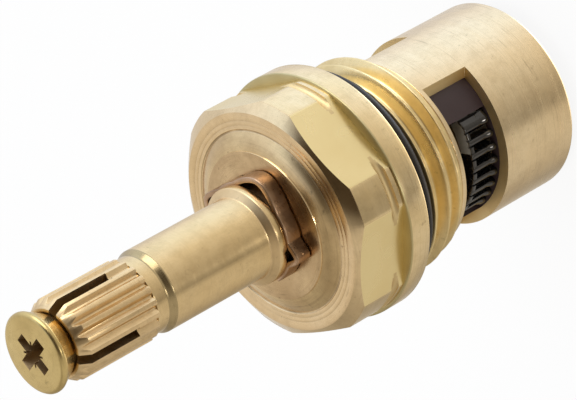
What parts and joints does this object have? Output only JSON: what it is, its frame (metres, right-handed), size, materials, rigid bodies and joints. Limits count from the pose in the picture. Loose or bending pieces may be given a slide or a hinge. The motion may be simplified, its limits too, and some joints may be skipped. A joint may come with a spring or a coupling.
{
  "type": "ceramic disc tap cartridge",
  "caption": "Quarter-turn tap cartridge: splined spindle through a hexagon head body, windowed sleeve, ceramic discs that open and shut the flow, and a rubber seat seal.",
  "frame": {"origin": "on the axis, at the seat seal's underside that rests on the valve seat", "axes": "+Z along the spindle axis towards the handle; +X square to one flat of the hexagon"},
  "size_m": [0.0242, 0.024, 0.0602],
  "materials": {
    "screw_brass": "bright drawn",
    "spindle_brass": "fine turned",
    "body_brass": "turned and milled",
    "sleeve_brass": "turned",
    "clip_bronze": "dull bronze strip",
    "seal_rubber": "satin",
    "guide_plastic": "satin",
    "comb_plastic": "gloss",
    "slip_plastic": "smooth",
    "disc_ceramic": "lapped",
    "ring_steel": "plain"
  },
  "bodies": {
    "body": {"head_body": "body_brass", "flange_o_ring": "seal_rubber", "thrust_washer": "slip_plastic", "sleeve": "sleeve_brass", "flow_guide": "guide_plastic", "noise_comb": "comb_plastic", "fixed_disc": "disc_ceramic", "seat_seal": "seal_rubber", "seal_ring": "ring_steel"},
    "spindle": {"spindle": "spindle_brass", "handle_screw": "screw_brass", "retaining_clip": "clip_bronze", "upper_o_ring": "seal_rubber", "lower_o_ring": "seal_rubber"},
    "moving_disc": {"moving_disc": "disc_ceramic"}
  },
  "joints": [
    {"name": "spindle_turn", "type": "hinge", "parent": "body", "child": "spindle", "pos_m": [0, 0, 0.0275], "axis": [0, 0, 1], "range_deg": [0, 90]},
    {"name": "disc_turn", "type": "hinge", "parent": "body", "child": "moving_disc", "pos_m": [0, 0, 0.0085], "axis": [0, 0, 1], "range_deg": [0, 90]}
  ],
  "couplings": [
    {"joint": "disc_turn", "follows": "spindle_turn", "ratio": 1}
  ]
}
